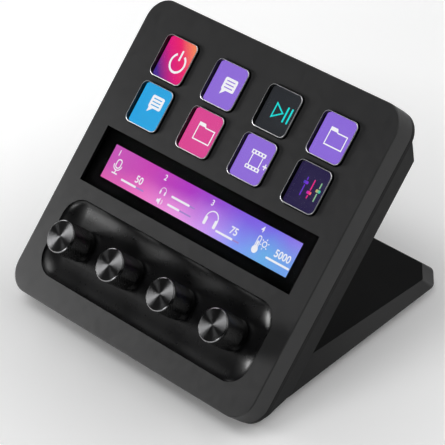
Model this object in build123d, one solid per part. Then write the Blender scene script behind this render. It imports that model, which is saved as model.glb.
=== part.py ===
from build123d import *
import os
from math import cos, radians, sin, sqrt, tan

# Desk control pad: a tilted bezel with eight clear keys and a touch bar over one screen, four push
# dials in a sunken trough, a rear housing, and a weighted stand on a rubber foot.
# Millimetres. X is to the right, Y is to the back, Z is up, and the foot stands on Z = 0.
# Most pieces are drawn on the sloped face: u to the right, v up the slope, w out of the face.

# ---- the face and where it stands ----
TILT = 38.8
FACE_Y = -56.63
FACE_Z = 8.6
WIDTH = 140.4
LENGTH = 131.6
CORNER = 9.9
RIM_DEPTH = 9.1
RIM_ROUND = 0.5
SKIN = 1.2
WALL = 1.2

# ---- keys ----
KEY_U = (-44.7, -14.9, 14.9, 44.7)
KEY_V = (110.4, 89.5)
KEY_WIDE = 18.3
KEY_HIGH = 18.2
KEY_CORNER = 2.7
KEY_TOP = 1.2
KEY_THICK = 3.0
KEY_WINDOW = 19.1
COLLAR = 20.3
COLLAR_THICK = 0.5
POCKET = 20.5
KEY_TRAVEL = 1.0

# ---- touch bar ----
BAR_WIDE = 121.54
BAR_HIGH = 24.4
BAR_V = 63.0
BAR_THICK = 1.8
SENSOR_THICK = 0.9

# ---- screen ----
SCREEN_FRONT = -3.3
SCREEN_WIDE = 120.7
SCREEN_HIGH = 76.0
SCREEN_V = 88.0
SCREEN_THICK = 2.0

# ---- trough and dials ----
WELL_WIDE = 121.0
WELL_HIGH = 34.1
WELL_V = 27.55
WELL_CORNER = 9.6
WELL_DEEP = 3.0
WELL_SLOPE = 9.5
WELL_FLOOR = 1.2
DIAL_U = KEY_U
DIAL_V = 27.6
DIAL_DIA = 14.1
DIAL_TOP = 12.0
SHAFT_DIA = 6.0
PUSH = 0.6

# ---- rear housing ----
GROOVE = 0.4
HOUSING_FRONT = -(RIM_DEPTH + GROOVE)
BAND_BACK = -11.5
BAND_INSET = 0.15
HOUSING_BACK = -20.4
HOUSING_WALL = 1.8
SIDE_INSET = 0.6
BACK_HALF = 68.0
LEDGE_TOP = 123.4
BACK_TOP = 117.0
SCREW_SPOTS = [(u, v) for u in (-64.4, 64.4) for v in (22.0, 98.0)]

# ---- stand ----
STAND_HALF = 68.0
STAND_REAR = 56.43
STAND_CUT = 7.7
STAND_SLOPE = 3.2
STAND_REAR_SLOPE = 2.4
STAND_LOW = 3.4
STAND_BELOW = 1.4
STAND_EDGE = 2.8
STAND_RISE = 0.071

FACE = Location(Plane(origin=(0, FACE_Y, FACE_Z), x_dir=(1, 0, 0),
                      z_dir=(0, -sin(radians(TILT)), cos(radians(TILT)))))


# ---- helpers ----
def save(name, shape):
    """Write one piece to its own file."""
    export_step(shape, "parts/" + name + ".step")


def save_on_face(name, shape):
    """Write a piece that was drawn in face coordinates."""
    save(name, FACE * shape)


def slab(wide, high, corner, at, low, top):
    """A rounded slab on the face, from w = low to w = top."""
    outline = RectangleRounded(wide, high, corner) if corner else Rectangle(wide, high)
    return Pos(at[0], at[1], low) * extrude(outline, top - low)


def disc(dia, at, low, top):
    """A round slab on the face, from w = low to w = top."""
    return Pos(at[0], at[1], low) * extrude(Circle(dia / 2), top - low)


def face_point(v, w):
    """The Y and Z of a point of the face's middle section."""
    tilt = radians(TILT)
    return (FACE_Y + v * cos(tilt) - w * sin(tilt), FACE_Z + v * sin(tilt) + w * cos(tilt))


def key_spots():
    """The eight key centres, row by row from the top left."""
    return [(u, v) for v in KEY_V for u in KEY_U]


def key_window(size, spot, low, top, corner):
    """The square opening that belongs to one key."""
    return slab(size, size - (KEY_WIDE - KEY_HIGH), corner, spot, low, top)


def top_edges(shape):
    """The edges of the outermost flat of a piece drawn on the face."""
    return shape.faces().sort_by(Axis.Z)[-1].edges()


# ---- bezel ----
def faceplate():
    middle = (0, LENGTH / 2)
    shell = slab(WIDTH, LENGTH, CORNER, middle, -RIM_DEPTH, 0)
    shell = fillet(top_edges(shell), RIM_ROUND)
    shell -= slab(WIDTH - 2 * WALL, LENGTH - 2 * WALL, CORNER - WALL, middle, -RIM_DEPTH, -SKIN)
    for spot in SCREW_SPOTS:
        shell += disc(5.2, spot, boss_end(), -SKIN)
    for spot in SCREW_SPOTS:
        shell -= disc(2.0, spot, boss_end(), -SKIN - 0.4)
    for spot in key_spots():
        shell -= key_window(KEY_WINDOW, spot, -SKIN, 0, 3.1)
    shell -= slab(BAR_WIDE, BAR_HIGH, 0, (0, BAR_V), -SKIN, 0)
    shell -= slab(WELL_WIDE, WELL_HIGH, WELL_CORNER, (0, WELL_V), -SKIN, 0)
    return shell


def boss_end():
    """How deep a screw boss of the bezel reaches: to the back of the screen."""
    return SCREEN_FRONT - SCREEN_THICK


# ---- trough insert ----
def scoop():
    """The hollow of the trough: a flat floor with quarter-ellipse slopes and bowl corners."""
    land = 0.08
    wide = WELL_WIDE - 2 * land
    high = WELL_HIGH - 2 * land
    block = slab(wide, high, WELL_SLOPE, (0, 0), -WELL_SLOPE, 0)
    block = fillet(block.faces().sort_by(Axis.Z)[0].edges(), WELL_SLOPE - 0.1)
    block = scale(block, by=(1, 1, WELL_DEEP / WELL_SLOPE))
    return Pos(0, WELL_V, 0) * block


def dial_well():
    body = slab(WELL_WIDE, WELL_HIGH, WELL_CORNER, (0, WELL_V), -SKIN, 0)
    body += slab(WELL_WIDE + 2, WELL_HIGH + 3, 0, (0, WELL_V), -2.4, -SKIN)
    body += slab(WELL_WIDE - 3, WELL_HIGH - 3, 0, (0, WELL_V), -WELL_DEEP - WELL_FLOOR, -2.4)
    body -= scoop()
    for u in DIAL_U:
        body -= disc(7.4, (u, DIAL_V), -6, 0)
    for u in (-56, 0, 56):
        body += disc(4.4, (u, DIAL_V), -10.2, -WELL_DEEP - WELL_FLOOR)
        body -= disc(1.7, (u, DIAL_V), -10.2, -5.0)
    return body


# ---- touch bar ----
def touch_glass():
    glass = slab(BAR_WIDE, BAR_HIGH, 0, (0, BAR_V), -0.1 - BAR_THICK, -0.1)
    return chamfer(top_edges(glass), 0.15)


def touch_sensor():
    """The sensor film and its clear bond, laid on the back of the glass."""
    front = -0.1 - BAR_THICK
    return slab(119.4, 23.4, 0, (0, BAR_V), front - SENSOR_THICK, front)


# ---- keys ----
def key_cap(spot):
    cap = slab(KEY_WIDE, KEY_HIGH, KEY_CORNER, spot, KEY_TOP - KEY_THICK, KEY_TOP)
    return chamfer(top_edges(cap), 0.35)


def key_collar(spot):
    low = KEY_TOP - KEY_THICK
    ring = slab(COLLAR, COLLAR - 0.1, 0, spot, low, low + COLLAR_THICK)
    return ring - slab(KEY_WIDE, KEY_HIGH, KEY_CORNER, spot, low, low + COLLAR_THICK)


def key_guide():
    """The frame that keeps the light of one key out of the next, with a pocket for each collar.

    A thinner border runs on round the bar's picture and carries the bar's glass."""
    bar_bed = -0.1 - BAR_THICK - SENSOR_THICK
    frame = slab(120.0, 46.8, 0, (0, 100.0), SCREEN_FRONT + 0.2, -SKIN)
    for spot in key_spots():
        frame -= key_window(POCKET, spot, SCREEN_FRONT, 0, 0)
    frame += slab(119.4, 25.4, 0, (0, BAR_V + 1.0), SCREEN_FRONT, bar_bed)
    frame -= slab(109.0, 15.4, 0, (0, BAR_V), SCREEN_FRONT, bar_bed)
    frame -= slab(121.0, 6.0, 0, (0, 78.7), SCREEN_FRONT, SCREEN_FRONT + 0.2)
    return frame


def key_membrane():
    """The switch mat: a thin sheet with a light window and two ribs under each key."""
    mat = slab(120.0, 46.6, 0, (0, 100.1), SCREEN_FRONT, SCREEN_FRONT + 0.2)
    for spot in key_spots():
        mat -= key_window(17.4, spot, SCREEN_FRONT, 0, 0)
        for du in (-9.2, 9.2):
            mat += slab(0.8, 11.0, 0, (spot[0] + du, spot[1]), SCREEN_FRONT + 0.2, -2.86)
    return mat


# ---- screen and boards ----
def lcd_panel():
    back = SCREEN_FRONT - SCREEN_THICK
    return slab(SCREEN_WIDE, SCREEN_HIGH, 0, (0, SCREEN_V), back, SCREEN_FRONT)


def lcd_tray():
    """The folded steel tray: a floor, four low walls, ears for the screws, feet for the board."""
    back = SCREEN_FRONT - SCREEN_THICK
    tray = slab(SCREEN_WIDE + 0.8, SCREEN_HIGH + 0.8, 0, (0, SCREEN_V), back - 0.5, back + 1.6)
    tray -= slab(SCREEN_WIDE, SCREEN_HIGH, 0, (0, SCREEN_V), back, back + 1.6)
    for u, v in SCREW_SPOTS:
        if v > 50:
            inner = u - 1.9 if u > 0 else u + 1.9
            tray += slab(9.0, 7.0, 0, (inner, v), back - 0.5, back)
            tray -= disc(2.4, (u, v), back - 0.5, back)
    for u in (-50, 50):
        for v in (62, 116):
            tray += slab(5.0, 5.0, 0, (u, v), -8.2, back - 0.5)
    return tray


def main_board():
    board = slab(112.0, 64.0, 0, (0, 89.0), -9.8, -8.2)
    for u in (-50, 50):
        for v in (62, 116):
            board -= disc(2.4, (u, v), -9.8, -8.2)
    return board


def board_chips():
    """The larger parts on the back of the main board, one solid each."""
    chips = [slab(14.0, 14.0, 0, (-24.0, 96.0), -11.2, -9.8)]
    chips.append(slab(9.0, 7.0, 0, (-24.0, 80.0), -10.9, -9.8))
    chips.append(slab(8.0, 8.0, 0, (30.0, 100.0), -12.8, -9.8))
    chips.append(slab(26.0, 5.0, 0, (30.0, 66.0), -12.0, -9.8))
    chips.append(disc(6.3, (44.0, 84.0), -15.5, -9.8))
    return Compound(children=chips)


def usb_spot():
    return (0, 88.0)


def usb_socket():
    """An upright USB-C socket: a drawn shell with its tongue."""
    low = HOUSING_BACK + 0.5
    shell = slab(8.94, 3.26, 1.6, usb_spot(), low, -9.8)
    shell -= slab(8.34, 2.66, 1.3, usb_spot(), low, -12.0)
    shell += slab(6.7, 0.7, 0, usb_spot(), low + 1.0, -12.0)
    return shell


def dial_board():
    board = slab(118.0, 26.0, 0, (0, DIAL_V), -11.8, -10.2)
    for u in (-56, 0, 56):
        board -= disc(2.2, (u, DIAL_V), -11.8, -10.2)
    return board


# ---- dials ----
def encoder_body(u):
    """The switch housing with the bush that the shaft turns in."""
    spot = (u, DIAL_V)
    body = slab(12.4, 13.2, 0, spot, -10.2, -WELL_DEEP - WELL_FLOOR)
    body += disc(7.0, spot, -WELL_DEEP - WELL_FLOOR, -3.1)
    body -= disc(8.9, spot, -9.2, -7.1)
    body -= disc(SHAFT_DIA + 0.06, spot, -7.1, -3.1)
    return body


def switch_plunger(u):
    """The disc that a push moves, with the pin that the shaft turns on."""
    spot = (u, DIAL_V)
    return disc(8.8, spot, -8.5, -7.2) + disc(3.0, spot, -7.2, -5.4)


def shaft_section(grow):
    """The D of the shaft's upper end."""
    circle = Circle(SHAFT_DIA / 2 + grow)
    return circle - Pos(0, SHAFT_DIA / 2 - 0.75 + grow + 5) * Rectangle(12, 10)


def dial_shaft(u):
    spot = (u, DIAL_V)
    shaft = disc(SHAFT_DIA, spot, -7.15, 1.0)
    shaft += Pos(u, DIAL_V, 1.0) * extrude(shaft_section(0), 9.3)
    shaft -= disc(3.06, spot, -7.15, -5.3)
    return shaft


def dial_knob(u):
    """The moulded grip: a plain base, a wider grip with a crowned edge, and the D socket."""
    spot = (u, DIAL_V)
    knob = disc(13.5, spot, -1.8, 0.8)
    grip = disc(DIAL_DIA, spot, 0.8, 11.3)
    knob += chamfer(top_edges(grip), 0.25)
    knob -= disc(11.3, spot, -1.8, 1.0)
    knob -= Pos(u, DIAL_V, 1.0) * extrude(shaft_section(0), 9.3)
    return knob


def dial_cap(u):
    """The turned end disc with its cut edge."""
    spot = (u, DIAL_V)
    cap = disc(DIAL_DIA - 0.5, spot, 11.3, DIAL_TOP)
    return chamfer(top_edges(cap), 0.35)


# ---- rear housing ----
def housing_form(wall):
    """The drafted body behind the bezel, moved in by a wall."""
    front_half = WIDTH / 2 - SIDE_INSET

    def section(w):
        down = (HOUSING_FRONT - w) / (HOUSING_FRONT - HOUSING_BACK)
        half = front_half + (BACK_HALF - front_half) * down - wall
        low = SIDE_INSET + 1.5 * down + wall
        outline = RectangleRounded(2 * half, LENGTH - 2 * low, CORNER - SIDE_INSET - wall)
        return Pos(0, LENGTH / 2, w) * outline

    back = HOUSING_BACK + wall * 2.0 / HOUSING_WALL
    return loft([section(HOUSING_FRONT), section(back)], ruled=True)


def upper_back(front, wall):
    """What the nearly upright upper back takes off, from w = front backwards."""
    lean = (LEDGE_TOP - BACK_TOP) / (BAND_BACK - HOUSING_BACK)
    across = wall * sqrt(1 + lean ** 2)
    deep = HOUSING_BACK - 5

    def line(w):
        return BACK_TOP + lean * (w - HOUSING_BACK) - across

    points = [(line(front), front), (line(deep), deep), (LENGTH + 20, deep), (LENGTH + 20, front)]
    return extrude(Plane.YZ * make_face(Polyline(*points, close=True)), WIDTH, both=True)


def housing_band():
    """The band of the housing that carries on the bezel's rim behind the groove."""
    wide = WIDTH - 2 * BAND_INSET
    high = LENGTH - 2 * BAND_INSET
    band = slab(wide, high, CORNER - BAND_INSET, (0, LENGTH / 2), BAND_BACK, HOUSING_FRONT)
    return chamfer(band.faces().sort_by(Axis.Z)[0].edges(), 0.35)


def housing_underside(drop):
    """What the flat underside takes off: all that lies nearer the desk than the skirt."""
    points = [(-20, -10.3), (-0.3, -10.3), (1.2, -11.5), (3.0, -12.3), (9.9, -14.5),
              (17.9, -20.4), (17.9, -60), (-20, -60)]
    outline = make_face(Polyline(*points, close=True))
    outline = Pos(0, drop, drop * 0.6) * outline
    return extrude(Plane.YZ * outline, WIDTH, both=True)


def rear_housing():
    shell = housing_form(0) - upper_back(BAND_BACK, 0)
    shell += housing_band()
    shell -= housing_underside(0)
    hollow = housing_form(HOUSING_WALL) - upper_back(HOUSING_FRONT, HOUSING_WALL)
    shell -= hollow - housing_underside(HOUSING_WALL)
    middle = (0, LENGTH / 2)
    lip = slab(WIDTH - 2 * WALL - 0.2, LENGTH - 2 * WALL - 0.2, CORNER - WALL - 0.1, middle,
               HOUSING_FRONT, -6.0)
    inner = slab(WIDTH - 2 * WALL - 3.0, LENGTH - 2 * WALL - 3.0, CORNER - WALL - 1.5, middle,
                 HOUSING_FRONT, -6.0)
    shell += lip - inner
    for spot in SCREW_SPOTS:
        shell += disc(5.6, spot, HOUSING_BACK + 1.0, post_end(spot))
    for spot in SCREW_SPOTS:
        shell -= disc(2.3, spot, HOUSING_BACK, post_end(spot))
        shell -= disc(4.4, spot, HOUSING_BACK, HOUSING_BACK + 1.6)
    for u in (-40, 40):
        shell += slab(1.6, 9, 0, (u, 34.5), HOUSING_BACK + 1.0, -11.8)
    shell -= slab(9.4, 3.7, 1.8, usb_spot(), HOUSING_BACK - 1, HOUSING_BACK + 4)
    shell -= Pos(0, 0, HOUSING_BACK) * usb_countersink()
    return shell


def usb_countersink():
    """The shallow dish round the socket for the plug's overmould."""
    return Pos(*usb_spot(), 0) * extrude(RectangleRounded(12.6, 6.9, 3.2), 0.5)


def post_end(spot):
    """How far forward a screw post reaches: to the tray's ear, or to the bezel's boss."""
    boss = boss_end()
    return boss - 0.5 if spot[1] > 50 else boss


def housing_screws():
    screws = []
    for spot in SCREW_SPOTS:
        screw = disc(4.0, spot, HOUSING_BACK + 0.3, HOUSING_BACK + 1.6)
        screw += disc(2.0, spot, HOUSING_BACK + 1.6, -2.2)
        screws.append(screw)
    return Compound(children=screws)


def keeper_plate():
    """The steel strip inside the housing that the stand's magnets hold."""
    return slab(110.0, 7.0, 0, (0, 24.6), HOUSING_BACK + 2.0, HOUSING_BACK + 3.0)


# ---- stand ----
def stand_front():
    """Where the stand meets the housing's back, at the height of its lower edge."""
    return face_point(0, HOUSING_BACK)[0] + (STAND_LOW - face_point(0, HOUSING_BACK)[1]) / tan(
        radians(TILT))


def stand_outline(side, rear, front):
    """The plan of the stand with its cut rear corners, moved in at the sides and the rear."""
    half = STAND_HALF - side
    back = STAND_REAR - rear
    return [(-half, front), (half, front), (half, back - STAND_CUT), (half - STAND_CUT, back),
            (-half + STAND_CUT, back), (-half, back - STAND_CUT)]


def stand_ring(side, rear, front, corner):
    """A face of that plan with its four rear corners rounded, and its own Y along the stand."""
    face = make_face(Polyline(*stand_outline(side, rear, front), close=True))
    return fillet(face.vertices().sort_by(Axis.Y)[2:], corner)


def stand_top_plane():
    """The sloping top, through its rear edge."""
    return Plane(origin=(0, 0, STAND_LOW + STAND_EDGE + STAND_RISE * STAND_REAR), x_dir=(1, 0, 0),
                 z_dir=(0, STAND_RISE, 1))


def stand_block():
    front = stand_front() - 1.0
    base = Pos(0, 0, STAND_LOW - STAND_BELOW) * stand_ring(STAND_BELOW, STAND_BELOW, front, 3.6)
    low = Pos(0, 0, STAND_LOW) * stand_ring(0, 0, front, 5.0)
    top = stand_top_plane() * stand_ring(STAND_SLOPE, STAND_REAR_SLOPE, front, 1.5)
    block = loft([base, low], ruled=True) + loft([low, top], ruled=True)
    return block - behind_housing()


def behind_housing():
    """Everything on the bezel's side of the housing's back."""
    return FACE * Pos(0, 60, HOUSING_BACK + 50) * Box(300, 400, 100)


def foot_outline():
    front = stand_front() + 7.0
    points = stand_outline(5.5, 5.5, front)
    return fillet(make_face(Polyline(*points, close=True)).vertices(), 2.5)


def foot_pad():
    pad = extrude(foot_outline(), STAND_LOW - 0.8)
    return chamfer(pad.faces().sort_by(Axis.Z)[0].edges(), 0.4)


def ballast_space():
    return Pos(0, 10.0, STAND_LOW - 0.8) * extrude(Rectangle(118, 58), 3.0)


def magnet_spots():
    return [(-45, 24.6), (-18, 24.6), (18, 24.6), (45, 24.6)]


def magnet(spot):
    return FACE * disc(6.4, spot, HOUSING_BACK - 2.0, HOUSING_BACK)


def stand_base():
    block = stand_block()
    block -= extrude(foot_outline(), STAND_LOW - 0.8)
    block -= ballast_space()
    for spot in magnet_spots():
        block -= magnet(spot)
    return block


def ballast_plate():
    return ballast_space()


# ---- write every piece ----
os.makedirs("parts", exist_ok=True)

save_on_face("faceplate", faceplate())
save_on_face("dial_well", dial_well())
save_on_face("touch_glass", touch_glass())
save_on_face("touch_sensor", touch_sensor())
save_on_face("key_guide", key_guide())
save_on_face("key_membrane", key_membrane())
save_on_face("lcd_panel", lcd_panel())
save_on_face("lcd_tray", lcd_tray())
save_on_face("main_board", main_board())
save_on_face("board_chips", board_chips())
save_on_face("usb_socket", usb_socket())
save_on_face("dial_board", dial_board())
save_on_face("rear_housing", rear_housing())
save_on_face("housing_screws", housing_screws())
save_on_face("keeper_plate", keeper_plate())

for number, spot in enumerate(key_spots(), 1):
    save_on_face("key_cap_%d" % number, key_cap(spot))
    save_on_face("key_collar_%d" % number, key_collar(spot))

for number, u in enumerate(DIAL_U, 1):
    save_on_face("encoder_body_%d" % number, encoder_body(u))
    save_on_face("switch_plunger_%d" % number, switch_plunger(u))
    save_on_face("dial_shaft_%d" % number, dial_shaft(u))
    save_on_face("dial_knob_%d" % number, dial_knob(u))
    save_on_face("dial_cap_%d" % number, dial_cap(u))

save("stand_base", stand_base())
save("ballast_plate", ballast_plate())
save("stand_magnets", Compound(children=[magnet(spot) for spot in magnet_spots()]))
save("foot_pad", foot_pad())
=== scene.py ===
"""The looks of the macro keypad: visible pieces, materials, studio and camera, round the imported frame."""
import math

import bmesh
import bpy
from mathutils import Matrix, Vector


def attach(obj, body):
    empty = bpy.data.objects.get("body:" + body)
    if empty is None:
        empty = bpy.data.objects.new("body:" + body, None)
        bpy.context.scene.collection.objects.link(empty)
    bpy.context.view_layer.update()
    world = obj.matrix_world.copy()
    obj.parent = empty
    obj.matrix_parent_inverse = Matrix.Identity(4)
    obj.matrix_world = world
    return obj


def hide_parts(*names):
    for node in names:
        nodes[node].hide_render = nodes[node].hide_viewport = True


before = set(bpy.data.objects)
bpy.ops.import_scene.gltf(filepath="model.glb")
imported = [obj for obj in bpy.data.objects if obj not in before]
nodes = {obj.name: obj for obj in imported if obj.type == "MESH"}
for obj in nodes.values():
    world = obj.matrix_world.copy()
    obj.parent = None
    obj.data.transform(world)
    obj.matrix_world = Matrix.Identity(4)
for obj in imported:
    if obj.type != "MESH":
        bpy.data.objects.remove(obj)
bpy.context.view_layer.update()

# ---------------------------------------------------------------- the sloped face
# u runs to the right, v up the slope and w out of the face, in millimetres.
MM = 1000  # millimetres in a metre
TILT = math.radians(38.8)
FACE_Y = -56.63
FACE_Z = 8.6
FACE = Matrix((
    (1, 0, 0, 0),
    (0, math.cos(TILT), -math.sin(TILT), FACE_Y / MM),
    (0, math.sin(TILT), math.cos(TILT), FACE_Z / MM),
    (0, 0, 0, 1)))
KEY_PITCH = 29.8
KEY_U = [KEY_PITCH * step for step in (-1.5, -0.5, 0.5, 1.5)]
KEY_V = (110.4, 89.5)
DIAL_V = 27.6
BAR_V = 63.0
SCREEN_W = -3.3
SCREEN_GAP = 0.01
KEYS = range(1, 9)
DIALS = range(1, 5)


def on_face(u, v, w):
    """The matrix of a piece whose own origin is at that point of the face."""
    return FACE @ Matrix.Translation((u / MM, v / MM, w / MM))


# ---------------------------------------------------------------- shader nodes
# A Mix node has sockets of its own for each kind of value: those for A, B and the result.
MIX_SOCKETS = {"FLOAT": (2, 3, 0), "RGBA": (6, 7, 2)}


def new_material(name):
    """A new material, its node tree and its Principled shader."""
    mat = bpy.data.materials.new(name)
    mat.use_nodes = True
    tree = mat.node_tree
    return mat, tree, tree.nodes["Principled BSDF"]


def link(tree, a, b):
    tree.links.new(a, b)


def coords(tree, kind="Object"):
    """Texture coordinates. Object ones are metres from the piece's own origin."""
    return tree.nodes.new("ShaderNodeTexCoord").outputs[kind]


def noise(tree, vector, scale, detail=3.0):
    """Noise about 0.5, whose largest grains are 1 / scale apart."""
    tex = tree.nodes.new("ShaderNodeTexNoise")
    tex.inputs["Scale"].default_value = scale
    tex.inputs["Detail"].default_value = detail
    link(tree, vector, tex.inputs["Vector"])
    return tex.outputs["Fac"]


def ramp(tree, fac, stops):
    """The colour at a value from 0 to 1, from stops of (value, colour)."""
    node = tree.nodes.new("ShaderNodeValToRGB")
    while len(node.color_ramp.elements) < len(stops):
        node.color_ramp.elements.new(0.5)
    for element, (at, colour) in zip(node.color_ramp.elements, stops):
        element.position = at
        element.color = (*colour, 1)
    link(tree, fac, node.inputs["Fac"])
    return node.outputs["Color"]


def cloudy(tree, fac, dark, light):
    """A noise as a colour from dark to light, over the middle, where most of its values lie."""
    return ramp(tree, fac, [(0.3, dark), (0.7, light)])


def map_range(tree, value, start, end, low, high, smooth=False):
    """The value with start to end spread over low to high, and held there beyond."""
    node = tree.nodes.new("ShaderNodeMapRange")
    if smooth:
        node.interpolation_type = "SMOOTHSTEP"
    for socket, number in (("From Min", start), ("From Max", end), ("To Min", low), ("To Max", high)):
        node.inputs[socket].default_value = number
    link(tree, value, node.inputs["Value"])
    return node.outputs["Result"]


def along(tree, vector, direction):
    """How far a vector goes in a fixed direction."""
    node = tree.nodes.new("ShaderNodeVectorMath")
    node.operation = "DOT_PRODUCT"
    node.inputs[1].default_value = direction
    link(tree, vector, node.inputs[0])
    return node.outputs["Value"]


def length(tree, vector):
    node = tree.nodes.new("ShaderNodeVectorMath")
    node.operation = "LENGTH"
    link(tree, vector, node.inputs[0])
    return node.outputs["Value"]


def added(tree, first, second):
    node = tree.nodes.new("ShaderNodeMath")
    node.operation = "ADD"
    link(tree, first, node.inputs[0])
    link(tree, second, node.inputs[1])
    return node.outputs["Value"]


def mixed(tree, kind, factor, first, second):
    """First where the factor is 0 and second where it is 1. Each is a socket or a plain number."""
    node = tree.nodes.new("ShaderNodeMix")
    node.data_type = kind
    a, b, result = MIX_SOCKETS[kind]
    link(tree, factor, node.inputs["Factor"])
    for place, value in ((a, first), (b, second)):
        if isinstance(value, float):
            node.inputs[place].default_value = value
        else:
            link(tree, value, node.inputs[place])
    return node.outputs[result]


def add_bump(tree, shader, height, distance):
    bump = tree.nodes.new("ShaderNodeBump")
    bump.inputs["Distance"].default_value = distance
    bump.inputs["Strength"].default_value = 1.0
    link(tree, height, bump.inputs["Height"])
    link(tree, bump.outputs["Normal"], shader.inputs["Normal"])


# ---------------------------------------------------------------- materials
CLOUD_SCALE = 45
CLOUD_VARY = 0.10
GLOSS_SCALE = 320
METAL_SHADE = 0.85
METAL_SMOOTHER = 0.06
METAL_ROUGHER = 0.08
RING_SCALE = 9000
RING_ROUGH_LOW = 0.32
RING_ROUGH_HIGH = 0.40
POLISH_SCALE = 700
POLISH_SPREAD = 0.01
BACK_LIGHT_SCALE = 130
BACK_LIGHT_VARY = 0.02


def shade(colour, factor):
    return tuple(c * factor for c in colour)


def srgb(text):
    """A colour written as six hex digits, as linear values."""
    values = [int(text[i:i + 2], 16) / 255 for i in (0, 2, 4)]
    return tuple(v / 12.92 if v <= 0.04045 else ((v + 0.055) / 1.055) ** 2.4 for v in values)


def moulded(name, colour, rough, spread=0.06, grain=2600, depth=0.00001, specular=0.5):
    """Moulded plastic: fine spark-eroded grain, slow cloudiness in colour and gloss."""
    mat, tree, shader = new_material(name)
    vector = coords(tree)
    cloud = noise(tree, vector, CLOUD_SCALE, 4)
    link(tree, cloudy(tree, cloud, shade(colour, 1 - CLOUD_VARY), shade(colour, 1 + CLOUD_VARY)),
         shader.inputs["Base Color"])
    gloss = noise(tree, vector, GLOSS_SCALE)
    link(tree, map_range(tree, gloss, 0, 1, rough - spread, rough + spread), shader.inputs["Roughness"])
    shader.inputs["Specular IOR Level"].default_value = specular
    add_bump(tree, shader, noise(tree, vector, grain, 2), depth)
    return mat


def metal(name, colour, rough, grain=900, depth=0.000004):
    """Plated or machined metal with a fine grain."""
    mat, tree, shader = new_material(name)
    grains = noise(tree, coords(tree), grain)
    link(tree, cloudy(tree, grains, shade(colour, METAL_SHADE), colour), shader.inputs["Base Color"])
    shader.inputs["Metallic"].default_value = 1.0
    link(tree, map_range(tree, grains, 0, 1, rough - METAL_SMOOTHER, rough + METAL_ROUGHER),
         shader.inputs["Roughness"])
    add_bump(tree, shader, grains, depth)
    return mat


def turned_metal(name, dark, light):
    """Metal turned on a lathe: the ring grain spreads each light into two fans."""
    mat, tree, shader = new_material(name)
    flat = tree.nodes.new("ShaderNodeMapping")
    flat.inputs["Scale"].default_value = (1, 1, 0)
    link(tree, coords(tree), flat.inputs["Vector"])
    rings = tree.nodes.new("ShaderNodeTexNoise")
    rings.noise_dimensions = "1D"
    rings.inputs["Scale"].default_value = RING_SCALE
    rings.inputs["Detail"].default_value = 2
    link(tree, length(tree, flat.outputs["Vector"]), rings.inputs["W"])
    link(tree, cloudy(tree, rings.outputs["Fac"], dark, light), shader.inputs["Base Color"])
    link(tree, map_range(tree, rings.outputs["Fac"], 0, 1, RING_ROUGH_LOW, RING_ROUGH_HIGH),
         shader.inputs["Roughness"])
    shader.inputs["Metallic"].default_value = 1.0
    shader.inputs["Anisotropic"].default_value = 1.0
    shader.inputs["Anisotropic Rotation"].default_value = 0.25
    tangent = tree.nodes.new("ShaderNodeTangent")
    tangent.direction_type = "RADIAL"
    tangent.axis = "Z"
    link(tree, tangent.outputs["Tangent"], shader.inputs["Tangent"])
    return mat


def clear(name, colour, ior, rough):
    """Coated acrylic or glass with a trace of polish marks: a low index keeps its reflections dim."""
    mat, tree, shader = new_material(name)
    shader.inputs["Base Color"].default_value = (*colour, 1)
    marks = noise(tree, coords(tree), POLISH_SCALE, 4)
    link(tree, map_range(tree, marks, 0, 1, rough - POLISH_SPREAD, rough + POLISH_SPREAD),
         shader.inputs["Roughness"])
    shader.inputs["Transmission Weight"].default_value = 1.0
    shader.inputs["IOR"].default_value = ior
    return mat


def lit(name, build):
    """A lit part of the display: build(tree) gives its colour."""
    mat, tree, shader = new_material(name)
    shader.inputs["Base Color"].default_value = (0.01, 0.01, 0.012, 1)
    shader.inputs["Roughness"].default_value = 0.25
    link(tree, build(tree), shader.inputs["Emission Color"])
    shader.inputs["Emission Strength"].default_value = 1.0
    return mat


def flat_light(colour):
    """A lit colour with the slight unevenness of a back light."""
    def build(tree):
        glow = noise(tree, coords(tree), BACK_LIGHT_SCALE, 2)
        return cloudy(tree, glow, shade(colour, 1 - BACK_LIGHT_VARY), colour)
    return build


def sweep_light(stops, reach, across=(1, 0, 0)):
    """A lit gradient in one direction of the piece, from -reach to reach in millimetres from its origin."""
    def build(tree):
        place = map_range(tree, along(tree, coords(tree), across), -reach / MM, reach / MM, 0, 1)
        return ramp(tree, place, [(at, srgb(text)) for at, text in stops])
    return build


BEZEL = moulded("bezel_plastic", (0.023, 0.023, 0.0235), 0.38, grain=3200)
HOUSING = moulded("housing_plastic", (0.009, 0.009, 0.0093), 0.45, grain=2800, specular=0.2)
WELL = moulded("trough_plastic", (0.006, 0.006, 0.0065), 0.28, spread=0.025, grain=3000, depth=0.000002,
               specular=0.55)
STAND = moulded("stand_plastic", (0.0045, 0.0045, 0.0048), 0.34, depth=0.000006, specular=0.25)
RUBBER = moulded("foot_rubber", (0.020, 0.020, 0.021), 0.78, grain=1800, depth=0.00002)
SILICONE = moulded("collar_silicone", (0.006, 0.006, 0.006), 0.6, depth=0.000005)
KNOB = moulded("dial_plastic", (0.002, 0.002, 0.0022), 0.26, spread=0.04, grain=4000, depth=0.000002,
               specular=0.25)
INNER = moulded("inner_plastic", (0.012, 0.012, 0.012), 0.6)
BOARD = moulded("board_mask", (0.010, 0.030, 0.022), 0.35)
CHIP = moulded("chip_resin", (0.012, 0.012, 0.013), 0.5)
PLUNGER = moulded("plunger_plastic", (0.45, 0.45, 0.42), 0.5)
STEEL = metal("tray_steel", (0.55, 0.55, 0.56), 0.35)
SOCKET = metal("socket_steel", (0.60, 0.60, 0.61), 0.25, grain=1500)
SCREW = metal("screw_steel", (0.06, 0.06, 0.065), 0.35, grain=2500)
SHAFT = metal("shaft_metal", (0.62, 0.61, 0.58), 0.30, grain=1800)
BALLAST = metal("ballast_iron", (0.18, 0.18, 0.18), 0.55, grain=500)
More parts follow.
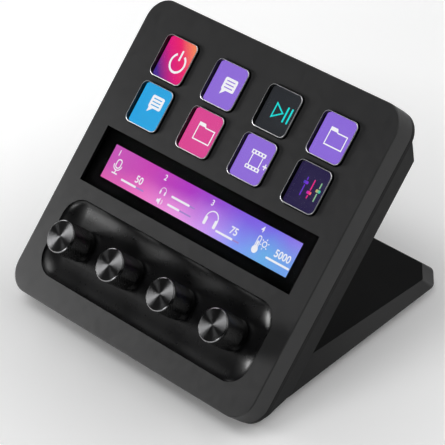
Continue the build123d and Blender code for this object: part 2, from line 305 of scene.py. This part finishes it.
MAGNET = metal("magnet_nickel", (0.65, 0.65, 0.66), 0.2)
DIAL_FACE = turned_metal("dial_face_metal", (0.105, 0.105, 0.108), (0.14, 0.14, 0.143))
DIAL_EDGE = metal("dial_edge_metal", (0.42, 0.42, 0.43), 0.16, grain=3000, depth=0.000001)
ACRYLIC = clear("key_acrylic", (0.98, 0.98, 1.0), 1.28, 0.02)
KEY_SIDE = moulded("key_side", (0.0015, 0.0015, 0.0016), 0.4, depth=0.000002, specular=0.2)
KEY_EDGE = metal("key_polished_edge", (0.80, 0.80, 0.82), 0.36, grain=1500, depth=0.000001)
PRINT = moulded("bar_black_print", (0.0008, 0.0008, 0.0008), 0.5, depth=0.000001, specular=0.05)
BAR_GLASS = clear("bar_glass", (0.92, 0.92, 0.95), 1.24, 0.015)
PANEL = moulded("screen_dark", (0.003, 0.003, 0.004), 0.2, spread=0.02, depth=0.000001)
WHITE = lit("picture_white", flat_light((0.93, 0.93, 0.95)))
FAINT = lit("picture_faint", flat_light(srgb("a58ad0")))

CAD_MATERIALS = {
    "faceplate": BEZEL, "dial_well": WELL, "rear_housing": HOUSING, "stand_base": STAND,
    "foot_pad": RUBBER, "key_guide": INNER, "key_membrane": SILICONE, "lcd_panel": PANEL,
    "lcd_tray": STEEL, "keeper_plate": STEEL, "main_board": BOARD, "dial_board": BOARD,
    "board_chips": CHIP, "usb_socket": SOCKET, "housing_screws": SCREW,
    "ballast_plate": BALLAST, "stand_magnets": MAGNET, "touch_glass": BAR_GLASS,
    "touch_sensor": BAR_GLASS}
for number in KEYS:
    CAD_MATERIALS["key_cap_%d" % number] = ACRYLIC
    CAD_MATERIALS["key_collar_%d" % number] = SILICONE
for number in DIALS:
    CAD_MATERIALS["encoder_body_%d" % number] = STEEL
    CAD_MATERIALS["switch_plunger_%d" % number] = PLUNGER
    CAD_MATERIALS["dial_shaft_%d" % number] = SHAFT
for name, material in CAD_MATERIALS.items():
    for slot in nodes[name].material_slots:
        slot.material = material


# ---------------------------------------------------------------- pieces and mesh helpers
BLOCK_CORNER_POINTS = 12
CREASE = 30


def add_piece(name, mesh, place, body, materials, smooth=None):
    """A new piece of the object at its place, riding on its body, smooth up to an angle in degrees."""
    mesh.name = name
    obj = bpy.data.objects.new(name, mesh)
    bpy.context.scene.collection.objects.link(obj)
    obj.matrix_world = place
    for material in materials:
        mesh.materials.append(material)
    if smooth is not None:
        mesh.shade_smooth()
        mesh.set_sharp_from_angle(angle=math.radians(smooth))
    bpy.context.view_layer.update()
    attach(obj, body)
    return obj


def new_mesh(bm):
    """The bmesh as a mesh. add_piece names it."""
    mesh = bpy.data.meshes.new("piece")
    bm.to_mesh(mesh)
    bm.free()
    return mesh


def plain_rows(profile):
    """Even rings for lathe, from points of (radius, height)."""
    def even(radius):
        return lambda i: radius

    return [(even(radius), height, None) for radius, height in profile]


def lathe(rows, count):
    """A closed skin of rings about Z: each row is (radius function, height, knurl row or None).

    Between two knurl rows the squares are split along their grooves."""
    bm = bmesh.new()
    rings = []
    for radius, z, _ in rows:
        ring = []
        for i in range(count):
            r = radius(i) / MM
            turn = 2 * math.pi * i / count
            ring.append(bm.verts.new((r * math.cos(turn), r * math.sin(turn), z / MM)))
        rings.append(ring)
    for j in range(len(rows) - 1):
        knurl = rows[j][2] is not None and rows[j + 1][2] is not None
        for i in range(count):
            k = (i + 1) % count
            a, b, c, d = rings[j][i], rings[j][k], rings[j + 1][k], rings[j + 1][i]
            if not knurl:
                bm.faces.new((a, b, c, d))
            elif (i + rows[j][2]) % 2:
                bm.faces.new((a, b, c))
                bm.faces.new((a, c, d))
            else:
                bm.faces.new((a, b, d))
                bm.faces.new((b, c, d))
    bm.faces.new(reversed(rings[0]))
    bm.faces.new(rings[-1])
    return new_mesh(bm)


def arc(centre, radius, start, end, count=24):
    """Points of an arc from one angle to another, in degrees."""
    turn = [math.radians(start + (end - start) * i / (count - 1)) for i in range(count)]
    return [(centre[0] + radius * math.cos(t), centre[1] + radius * math.sin(t)) for t in turn]


def circle(centre, radius):
    """24 points round a circle, 15 degrees apart."""
    return arc(centre, radius, 0, 345)


def box_points(x0, y0, x1, y1, corner=0.0, count=6):
    """A rectangle, with rounded corners if asked."""
    if not corner:
        return [(x0, y0), (x1, y0), (x1, y1), (x0, y1)]
    points = []
    for cx, cy, start in ((x1 - corner, y0 + corner, -90), (x1 - corner, y1 - corner, 0),
                          (x0 + corner, y1 - corner, 90), (x0 + corner, y0 + corner, 180)):
        points += arc((cx, cy), corner, start, start + 90, count)
    return points


def block_mesh(wide, high, corner, levels):
    """A closed block of stacked outlines: levels are (height, inset, material index above)."""
    bm = bmesh.new()
    rings = []
    for z, inset, _ in levels:
        x, y = wide / 2 - inset, high / 2 - inset
        points = box_points(-x, -y, x, y, corner - inset if corner else 0, BLOCK_CORNER_POINTS)
        rings.append([bm.verts.new((px / MM, py / MM, z / MM)) for px, py in points])
    for lower, upper, level in zip(rings, rings[1:], levels):
        for i in range(len(lower)):
            k = (i + 1) % len(lower)
            face = bm.faces.new((lower[i], lower[k], upper[k], upper[i]))
            face.material_index = level[2]
    bm.faces.new(reversed(rings[0]))
    bm.faces.new(rings[-1])
    return new_mesh(bm)


# ---------------------------------------------------------------- dials
# The profiles are points of (radius, height over the face), in millimetres.
GRIP_FOOT = ((3.0, 0.4), (5.65, 0.4), (5.65, -1.8), (6.55, -1.8), (6.75, -1.6), (6.75, 0.55),
             (6.6, 0.62), (6.6, 0.78), (6.8, 0.84))
GRIP_TOP = ((6.84, 11.1), (6.74, 11.29), (3.0, 11.29))
GRIP_CREASE = 12
KNURL_RADIUS = 7.05
KNURL_DEEP = 0.26
KNURL_COUNT = 42
KNURL_ROWS = 18
KNURL_LOW = 1.15
KNURL_HIGH = 10.85
KNURL_RUN_OUT = 0.15
DISC_EDGE = ((6.0, 11.3), (6.74, 11.3), (6.78, 11.36), (6.78, 11.68), (6.75, 11.73), (6.41, 11.985))
DISC_CENTRE = ((0.12, 11.97),)
DISC_STEPS = 128
# The disc's face is turned: ridges and grooves by turns, from its edge inwards.
RIDGE_RADIUS = 6.33
RIDGE_HEIGHT = 11.99
GROOVE_DEEP = 0.005
TURNED_ROWS = 76
TURNED_STEP = 0.08


def grip_mesh():
    """The grip: a hollow grooved foot, then a band of small pyramids between two plain edges."""
    root = KNURL_RADIUS - KNURL_DEEP

    def knurled(row):
        return lambda i: KNURL_RADIUS if (i + row) % 2 == 0 else root

    rows = plain_rows((*GRIP_FOOT, (root, KNURL_LOW - KNURL_RUN_OUT)))
    for row in range(KNURL_ROWS + 1):
        height = KNURL_LOW + (KNURL_HIGH - KNURL_LOW) * row / KNURL_ROWS
        rows.append((knurled(row), height, row))
    rows += plain_rows(((root, KNURL_HIGH + KNURL_RUN_OUT), *GRIP_TOP))
    return lathe(rows, KNURL_COUNT * 2)


def disc_mesh():
    """The end disc: a bright cut edge of material 1, then a face turned in fine rings of material 0."""
    turned = [(RIDGE_RADIUS - TURNED_STEP * row, RIDGE_HEIGHT - GROOVE_DEEP * (row % 2))
              for row in range(TURNED_ROWS)]
    mesh = lathe(plain_rows((*DISC_EDGE, *turned, *DISC_CENTRE)), DISC_STEPS)
    for face in mesh.polygons[:len(DISC_EDGE) * DISC_STEPS]:
        face.material_index = 1
    return mesh


for number, u in zip(DIALS, KEY_U):
    body = "dial_turn_%d" % number
    place = on_face(u, DIAL_V, 0)
    grip = add_piece("dial_grip_%d" % number, grip_mesh(), place, body, [KNOB], GRIP_CREASE)
    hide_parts("dial_knob_%d" % number)
    disc = add_piece("dial_disc_%d" % number, disc_mesh(), place, body, [DIAL_FACE, DIAL_EDGE],
                     CREASE)
    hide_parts("dial_cap_%d" % number)


# ---------------------------------------------------------------- housing screws
SCREW_U = (-64.4, 64.4)
SCREW_V = (22.0, 98.0)
SCREW_STEPS = 48
SCREW_PROFILE = ((1.05, -20.1), (1.8, -20.06), (1.97, -19.9), (2.0, -19.7), (2.0, -18.8),
                 (1.0, -18.8), (1.0, -2.4), (0.8, -2.2))
DRIVE_RADIUS = 0.80
DRIVE_LOBES = 6
DRIVE_LOBE = 0.14
DRIVE_FLOOR = -19.5
DRIVE_MOUTH = -20.05


def screw_mesh():
    """Four pan-head screws with six-lobed sockets, driven in from the back."""
    def lobed(i):
        return DRIVE_RADIUS + DRIVE_LOBE * math.cos(2 * math.pi * DRIVE_LOBES * i / SCREW_STEPS)

    drive = [(lobed, DRIVE_FLOOR, None), (lobed, DRIVE_MOUTH, None)]
    one = lathe(drive + plain_rows(SCREW_PROFILE), SCREW_STEPS)
    bm = bmesh.new()
    for u in SCREW_U:
        for v in SCREW_V:
            before = len(bm.verts)
            bm.from_mesh(one)
            bm.verts.ensure_lookup_table()
            bmesh.ops.translate(bm, verts=bm.verts[before:], vec=(u / MM, v / MM, 0))
    bpy.data.meshes.remove(one)
    return new_mesh(bm)


screws = add_piece("housing_screw_heads", screw_mesh(), FACE, "base", [SCREW], CREASE)
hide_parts("housing_screws")


# ---------------------------------------------------------------- keys
KEY_WIDE = 18.3
KEY_HIGH = 18.2
KEY_CORNER = 2.7
KEY_TOP = 1.2
KEY_BOTTOM = -1.8
KEY_CHAMFER = 0.15
KEY_ROUND = 0.27
KEY_ROUND_STEPS = 6
KEY_ROUND_LIP = 0.05


def key_levels():
    """Dark sides, a polished edge that catches the light, then the clear top: materials 1, 2 and 0."""
    levels = [(KEY_BOTTOM, KEY_CHAMFER, 1), (KEY_BOTTOM + KEY_CHAMFER, 0.0, 1)]
    for step in range(KEY_ROUND_STEPS + 1):
        turn = math.pi / 2 * step / KEY_ROUND_STEPS
        levels.append((KEY_TOP - KEY_ROUND * (1 - math.sin(turn)), KEY_ROUND * (1 - math.cos(turn)), 2))
    return levels + [(KEY_TOP, KEY_ROUND + KEY_ROUND_LIP, 0)]


def key_place(number, w):
    """The middle of a key: 1 to 4 are the upper row and 5 to 8 the lower one, each from the left."""
    row, column = divmod(number - 1, len(KEY_U))
    return on_face(KEY_U[column], KEY_V[row], w)


for number in KEYS:
    lens = add_piece("key_lens_%d" % number, block_mesh(KEY_WIDE, KEY_HIGH, KEY_CORNER, key_levels()),
                     key_place(number, 0), "key_%d" % number, [ACRYLIC, KEY_SIDE, KEY_EDGE],
                     CREASE)
    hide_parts("key_cap_%d" % number)


# ---------------------------------------------------------------- flat drawings on the display
LAYER_STEP = 0.004
MITRE_LIMIT = 0.35
GROUND = 0
INK = 1
DIM = 2


class Drawing:
    """Flat shapes in millimetres on a plane, each with a material index and its own thin layer."""

    def __init__(self):
        self.bm = bmesh.new()
        self.layer = 0

    def fill(self, points, index):
        """One filled outline, facing up."""
        z = self.layer * LAYER_STEP / MM
        verts = [self.bm.verts.new((x / MM, y / MM, z)) for x, y in points]
        face = self.bm.faces.new(verts)
        face.material_index = index
        face.normal_update()
        if face.normal.z < 0:
            face.normal_flip()

    def up(self):
        """What is drawn next lies on the layer above."""
        self.layer += 1

    def stroke(self, points, width, index, closed=False):
        """A line of even width with mitred corners."""
        count = len(points)
        pts = [Vector(p) for p in points]
        sides = []
        for i, point in enumerate(pts):
            steps = []
            if closed or i > 0:
                steps.append((point - pts[i - 1]).normalized())
            if closed or i < count - 1:
                steps.append((pts[(i + 1) % count] - point).normalized())
            before, after = [Vector((-step.y, step.x)) for step in (steps[0], steps[-1])]
            mid = (before + after).normalized()
            reach = width / 2 / max(mid.dot(after), MITRE_LIMIT)
            sides.append((point + mid * reach, point - mid * reach))
        for i in range(count if closed else count - 1):
            p, q = sides[i], sides[(i + 1) % count]
            self.fill([p[0], q[0], q[1], p[1]], index)

    def mesh(self):
        """The finished drawing, with its many-sided shapes cut into triangles."""
        bmesh.ops.triangulate(self.bm, faces=[f for f in self.bm.faces if len(f.verts) > 4])
        return new_mesh(self.bm)


# ---------------------------------------------------------------- key pictures
KEY_PICTURE_W = -2.84
KEY_PICTURE_BOX = (-9.5, -9.6, 9.9, 9.6)
KEY_PICTURE_CORNER = 1.6


def power_icon(art):
    art.stroke(arc((0, -0.5), 3.9, 122, 418, 40), 0.95, INK)
    art.fill(box_points(-0.48, 0.5, 0.48, 5.0, 0.4), INK)


def bubble_icon(art, rise=0.0):
    art.fill(box_points(-3.5, rise - 1.9, 3.5, rise + 3.5, 0.8), INK)
    art.fill([(-2.9, rise - 1.7), (-0.4, rise - 1.7), (-3.0, rise - 3.9)], INK)
    art.up()
    for y in (2.2, 0.8, -0.6):
        art.fill(box_points(-2.3, rise + y - 0.22, 2.3, rise + y + 0.22), GROUND)


def high_bubble_icon(art):
    bubble_icon(art, 1.7)


def play_icon(art):
    """Play and pause."""
    art.stroke([(-3.9, -2.9), (0.7, 0.0), (-3.9, 2.9)], 0.6, INK, True)
    for x in (2.3, 4.5):
        art.fill(box_points(x - 0.42, -3.2, x + 0.42, 3.2, 0.3), INK)


def folder_icon(art):
    outline = [(-4.5, -3.2), (4.5, -3.2), (4.5, 2.5), (-0.7, 2.5), (-1.5, 3.8), (-4.5, 3.8)]
    art.stroke(outline, 0.5, INK, True)
    art.fill([(-4.4, 2.6), (-0.85, 2.6), (-1.55, 3.75), (-4.4, 3.75)], INK)


def film_icon(art):
    """A film frame with its holes, and a plus sign beside it."""
    for y in (2.3, -3.9):
        art.fill(box_points(-4.1, y, 3.5, y + 1.6), INK)
    for x in (-3.0, 2.5):
        art.fill(box_points(x - 0.22, -2.3, x + 0.22, 2.3), INK)
    art.fill(box_points(4.1, -0.85, 6.5, -0.3), INK)
    art.fill(box_points(5.0, -1.8, 5.55, 0.6), INK)
    art.up()
    for y in (2.3, -3.9):
        for x in (-3.5, -1.75, 0.0, 1.75):
            art.fill(box_points(x, y + 0.4, x + 0.95, y + 1.2), GROUND)


def faders_icon(art):
    for x, y in ((-3.3, 1.6), (0.3, -1.5), (3.9, 0.5)):
        art.fill(box_points(x - 0.28, -3.9, x + 0.28, y - 0.95, 0.27), INK)
        art.fill(box_points(x - 1.2, y - 0.6, x + 1.2, y + 0.6, 0.4), INK)
        art.fill(box_points(x - 0.28, y + 0.95, x + 0.28, 3.9, 0.27), INK)


SUNSET = sweep_light([(0.0, "4a2f8f"), (0.38, "e2207c"), (0.62, "ef2a6b"), (1.0, "ff9a5c")],
                     10.5, (0.77, 0.64, 0))
RAINBOW = sweep_light([(0.0, "3d3bb5"), (0.3, "8a2be2"), (0.55, "f0287a"), (0.75, "f4a73c"),
                       (1.0, "39c6a4")], 4.5)
KEY_PICTURES = [
    (power_icon, SUNSET, WHITE),
    (bubble_icon, flat_light(srgb("9370db")), WHITE),
    (play_icon, flat_light(srgb("2c2e31")), lit("picture_teal", flat_light(srgb("19e0dc")))),
    (folder_icon, flat_light(srgb("8f6ddb")), WHITE),
    (high_bubble_icon, flat_light(srgb("2fa8e4")), WHITE),
    (folder_icon, flat_light(srgb("e04b95")), WHITE),
    (film_icon, flat_light(srgb("9370db")), WHITE),
    (faders_icon, flat_light(srgb("2a2347")), lit("picture_rainbow", RAINBOW))]

for number, (icon, back, ink) in zip(KEYS, KEY_PICTURES):
    drawing = Drawing()
    drawing.fill(box_points(*KEY_PICTURE_BOX, KEY_PICTURE_CORNER), GROUND)
    drawing.up()
    icon(drawing)
    ground = lit("picture_ground_%d" % number, back)
    add_piece("key_picture_%d" % number, drawing.mesh(), key_place(number, KEY_PICTURE_W), "base",
              [ground, ink])


# ---------------------------------------------------------------- touch bar
BAR_WIDE = 121.54
BAR_HIGH = 24.4
BAR_CREASE = 20
BAR_LEVELS = [(-2.74, 0.0, 0), (-0.25, 0.0, 0), (-0.15, 0.04, 0), (-0.1, 0.15, 0)]
BORDER_W = -2.77
BORDER_OUTER_U = 60.6
BORDER_OUTER_V = 12.1
BORDER_INNER_U = 53.9
BORDER_INNER_V = 7.3

bar = add_piece("bar_laminate", block_mesh(BAR_WIDE, BAR_HIGH, 0, BAR_LEVELS), on_face(0, BAR_V, 0),
                "base", [BAR_GLASS], BAR_CREASE)
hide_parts("touch_glass", "touch_sensor")

border = Drawing()
border.fill(box_points(-BORDER_OUTER_U, BORDER_INNER_V, BORDER_OUTER_U, BORDER_OUTER_V), GROUND)
border.fill(box_points(-BORDER_OUTER_U, -BORDER_OUTER_V, BORDER_OUTER_U, -BORDER_INNER_V), GROUND)
border.fill(box_points(-BORDER_OUTER_U, -BORDER_INNER_V, -BORDER_INNER_U, BORDER_INNER_V), GROUND)
border.fill(box_points(BORDER_INNER_U, -BORDER_INNER_V, BORDER_OUTER_U, BORDER_INNER_V), GROUND)
add_piece("bar_border", border.mesh(), on_face(0, BAR_V, BORDER_W), "base", [PRINT])


# ---------------------------------------------------------------- the bar's picture
STRIP_V = 62.9
STRIP_W = SCREEN_W + SCREEN_GAP
STRIP_HALF_WIDE = 53.9
STRIP_HALF_HIGH = 7.2
STRIP_SWEEP = 54
STRIP_UP = (-0.06, 1, 0)
STRIP_FADE_LOW = -7
STRIP_FADE_HIGH = 6
STRIP_CLOUD_SCALE = 55
STRIP_CLOUD_RISE = 4
NUMBER_W = SCREEN_W + 2 * SCREEN_GAP
LABEL_TALL = 2.4
READING_TALL = 3.1
# A figure's height as a share of its type size, and what its outline gains as a share of its height.
FIGURE_TALL = 0.73
FIGURE_BOLD = 0.025
NAME_FROM_U = -60


def slider(art, x, y, bright, wide):
    """A level: a bright bar of that length, and the faint rest of its track."""
    art.fill(box_points(x, y - 0.42, x + bright, y + 0.42, 0.4), INK)
    art.fill(box_points(x + bright, y - 0.3, x + wide, y + 0.3, 0.25), DIM)


def microphone(art, x, y):
    art.stroke(box_points(x - 1.25, y + 0.4, x + 1.25, y + 4.0, 1.1), 0.5, INK, True)
    art.stroke(arc((x, y + 1.7), 2.2, 180, 360, 16), 0.45, INK)
    art.fill(box_points(x - 0.25, y - 1.7, x + 0.25, y - 0.3), INK)
    art.fill(box_points(x - 1.6, y - 2.2, x + 1.6, y - 1.65), INK)


def headphones(art, x, y, size):
    art.stroke(arc((x, y), size, -8, 188, 28), size * 0.15, INK)
    for side in (-1, 1):
        cx = x + side * size * 0.86
        art.fill(box_points(cx - size * 0.24, y - size * 0.95, cx + size * 0.24, y + size * 0.12,
                            size * 0.15), INK)


def loudspeaker(art, x, y):
    art.fill([(x - 1.5, y - 0.6), (x - 0.7, y - 0.6), (x + 0.3, y - 1.5), (x + 0.3, y + 1.5),
              (x - 0.7, y + 0.6), (x - 1.5, y + 0.6)], INK)
    art.stroke(arc((x + 0.2, y), 1.3, -45, 45, 10), 0.35, INK)


def thermometer(art, x, y):
    art.stroke(box_points(x - 0.8, y - 0.4, x + 0.8, y + 4.4, 0.75), 0.4, INK, True)
    art.fill(circle((x, y - 1.1), 1.55), INK)
    art.fill(box_points(x - 0.4, y - 0.6, x + 0.4, y + 2.4), INK)


def sun(art, x, y):
    art.stroke(circle((x, y), 1.05), 0.4, INK, True)
    for turn in range(20, 380, 60):
        t = math.radians(turn)
        art.stroke([(x + 1.6 * math.cos(t), y + 1.6 * math.sin(t)),
                    (x + 2.35 * math.cos(t), y + 2.35 * math.sin(t))], 0.36, INK)


def strip_drawing():
    """The ground of the strip, and the symbols and levels of its four fields."""
    art = Drawing()
    art.fill(box_points(-STRIP_HALF_WIDE, -STRIP_HALF_HIGH, STRIP_HALF_WIDE, STRIP_HALF_HIGH), GROUND)
    art.up()
    microphone(art, -48.0, -1.6)
    slider(art, -43.2, -4.4, 9.0, 13.6)
    headphones(art, -20.3, -0.6, 1.5)
    loudspeaker(art, -20.0, -4.7)
    slider(art, -15.4, -0.8, 10.6, 13.6)
    slider(art, -15.4, -4.3, 7.0, 13.6)
    headphones(art, 8.2, -1.2, 3.2)
    slider(art, 12.5, -4.3, 9.6, 13.2)
    thermometer(art, 33.8, -2.2)
    sun(art, 37.2, 0.0)
    slider(art, 40.4, -4.0, 12.8, 13.2)
    return art


def strip_light(tree):
    """The strip's ground: pink over violet to pale blue, in a deeper tone along the top edge."""
    low = sweep_light([(0.0, "e563b0"), (0.2, "f479c8"), (0.42, "f3a0ea"), (0.58, "d0a0fa"),
                       (0.72, "8aa2fb"), (0.86, "6fb4ee"), (1.0, "78a6f0")], STRIP_SWEEP)(tree)
    high = sweep_light([(0.0, "cf5cbc"), (0.2, "cf48b8"), (0.42, "b63cc6"), (0.58, "9a50d8"),
                        (0.72, "8560e6"), (0.86, "7f6cec"), (1.0, "9a7cec")], STRIP_SWEEP)(tree)
    cloud = map_range(tree, noise(tree, coords(tree), STRIP_CLOUD_SCALE, 2), 0, 1,
                      -STRIP_CLOUD_RISE / MM, STRIP_CLOUD_RISE / MM)
    rise = added(tree, along(tree, coords(tree), STRIP_UP), cloud)
    tone = map_range(tree, rise, STRIP_FADE_LOW / MM, STRIP_FADE_HIGH / MM, 0, 1, smooth=True)
    return mixed(tree, "RGBA", tone, low, high)


def add_number(text, u, v, tall):
    """Plain figures on the screen, in Blender's own type, named by their text and their place."""
    curve = bpy.data.curves.new("number_" + text, "FONT")
    curve.body = text
    curve.size = tall / FIGURE_TALL / MM
    curve.resolution_u = 4
    curve.offset = tall * FIGURE_BOLD / MM
    maker = bpy.data.objects.new("maker", curve)
    bpy.context.scene.collection.objects.link(maker)
    bpy.context.view_layer.update()
    mesh = bpy.data.meshes.new_from_object(maker.evaluated_get(bpy.context.evaluated_depsgraph_get()))
    bpy.data.objects.remove(maker)
    mesh.materials.clear()
    add_piece("bar_number_%s_%d" % (text, round(u - NAME_FROM_U)), mesh, on_face(u, v, NUMBER_W),
              "base", [WHITE])


STRIP = lit("picture_strip", strip_light)
add_piece("bar_picture", strip_drawing().mesh(), on_face(0, STRIP_V, STRIP_W), "base",
          [STRIP, WHITE, FAINT])

for text, u, v in (("1", -51.0, 66.5), ("2", -23.2, 66.5), ("3", 4.2, 66.5), ("4", 32.4, 66.7)):
    add_number(text, u, v, LABEL_TALL)
for text, u, v in (("50", -36.4, 60.2), ("75", 18.8, 60.4), ("5000", 43.4, 60.7)):
    add_number(text, u, v, READING_TALL)

# ---------------------------------------------------------------- floor
# The floor is a pale sweep that ends out of the picture. Seen in reflections, its colour fades to dark away
# from the object: painted dark reflection.
# For the camera alone it also gives off a glow that grows away from the object and lights nothing: painted
# shade round the object, painted light farther off.
FLOOR_HALF = 3.0
FLOOR_SEEN = 0.96
FLOOR_NEAR = 0.86
PAINTED_REFLECTION_FAR = 0.12
PAINTED_REFLECTION_FADE = (0.2, 0.5)
PAINTED_GLOW_NEAR = 0.02
PAINTED_GLOW_FAR = 0.26
PAINTED_GLOW_FADE = (0.055, 0.16)

floor_mesh = bpy.data.meshes.new("floor")
floor_mesh.from_pydata([(-FLOOR_HALF, -FLOOR_HALF, 0), (FLOOR_HALF, -FLOOR_HALF, 0),
                        (FLOOR_HALF, FLOOR_HALF, 0), (-FLOOR_HALF, FLOOR_HALF, 0)], [], [(0, 1, 2, 3)])
floor = bpy.data.objects.new("floor", floor_mesh)
bpy.context.scene.collection.objects.link(floor)
floor_material, floor_tree, floor_shader = new_material("floor_pale")
floor_mesh.materials.append(floor_material)


def fading(near, far, fade):
    """A value that goes from near to far between the two distances of fade, in metres."""
    return map_range(floor_tree, length(floor_tree, coords(floor_tree)), *fade, near, far)


def pick(ray, other, own):
    """The value own for one kind of ray, and other for the rest."""
    path = floor_tree.nodes.new("ShaderNodeLightPath")
    return mixed(floor_tree, "FLOAT", path.outputs[ray], other, own)


# Painted dark reflection: for reflected rays alone, the floor fades from pale near the object to dark
# farther off.
floor_tone = pick("Is Glossy Ray", FLOOR_NEAR, fading(FLOOR_NEAR, PAINTED_REFLECTION_FAR, PAINTED_REFLECTION_FADE))
link(floor_tree, pick("Is Camera Ray", floor_tone, FLOOR_SEEN), floor_shader.inputs["Base Color"])
# Painted glow for the camera alone: weak near the object, which keeps painted shade round it, and strong
# farther off.
link(floor_tree, pick("Is Camera Ray", 0.0, fading(PAINTED_GLOW_NEAR, PAINTED_GLOW_FAR, PAINTED_GLOW_FADE)),
     floor_shader.inputs["Emission Strength"])
floor_shader.inputs["Emission Color"].default_value = (1, 1, 1, 1)
floor_shader.inputs["Roughness"].default_value = 0.9
floor_shader.inputs["Specular IOR Level"].default_value = 0.1

# ---------------------------------------------------------------- light
# Each soft box: its direction, the cosines where its light starts and is full, and its strength.
SOFT_BOXES = [((-0.1, -0.05, 1), 0.88, 0.985, 1.1), ((-0.3, -0.15, 0.94), 0.95, 0.995, 2.3),
              ((0.26, -0.31, 0.92), 0.88, 0.985, 0.5), ((0.7, 0.7, 0.25), 0.60, 0.95, 1.6),
              ((0.15, -1, 0.1), 0.94, 0.99, 3.5), ((-0.88, 0.35, 0.25), 0.94, 0.99, 1.5),
              ((-0.3, 0.5, 0.8), 0.94, 0.99, 0.4), ((0, 1, 0.05), 0.70, 0.97, 0.9)]
LAMP_PLACE = Vector((-0.66, -0.36, 0.12))
LAMP_AIM = Vector((-0.03, -0.03, 0.05))
LAMP_SIZE = 0.25
LAMP_POWER = 3.7

world = bpy.data.worlds.new("studio")
bpy.context.scene.world = world
world.use_nodes = True
sky = world.node_tree


def soft_box(direction, start, end, strength):
    """Light in the world from around a direction, fading out towards its edge."""
    towards = along(sky, coords(sky, "Generated"), Vector(direction).normalized())
    return map_range(sky, towards, start, end, 0, strength, smooth=True)


brightness = soft_box(*SOFT_BOXES[0])
for box in SOFT_BOXES[1:]:
    brightness = added(sky, brightness, soft_box(*box))
link(sky, brightness, sky.nodes["Background"].inputs["Strength"])
sky.nodes["Background"].inputs["Color"].default_value = (1, 1, 1, 1)

lamp_data = bpy.data.lights.new("front_left", "AREA")
lamp_data.shape = "SQUARE"
lamp_data.size = LAMP_SIZE
lamp_data.energy = LAMP_POWER
lamp = bpy.data.objects.new("front_left", lamp_data)
bpy.context.scene.collection.objects.link(lamp)
lamp.location = LAMP_PLACE
lamp.rotation_euler = (LAMP_AIM - LAMP_PLACE).to_track_quat("-Z", "Y").to_euler()

# ---------------------------------------------------------------- camera
# The view was solved from the photograph: the bezel's corners, the keys and the dials.
CAMERA_PLACE = (0.65487, -0.47706, 0.65586)
CAMERA_TURN = (51.9839, 8.8523, 46.8437)
CAMERA_LENS = 210.83
CAMERA_SENSOR = 36

camera_data = bpy.data.cameras.new("camera")
camera_data.sensor_width = CAMERA_SENSOR
camera_data.lens = CAMERA_LENS
camera_data.clip_end = 50
camera = bpy.data.objects.new("camera", camera_data)
bpy.context.scene.collection.objects.link(camera)
camera.location = CAMERA_PLACE
camera.rotation_euler = [math.radians(angle) for angle in CAMERA_TURN]
bpy.context.scene.camera = camera
bpy.context.scene.view_settings.view_transform = "Standard"
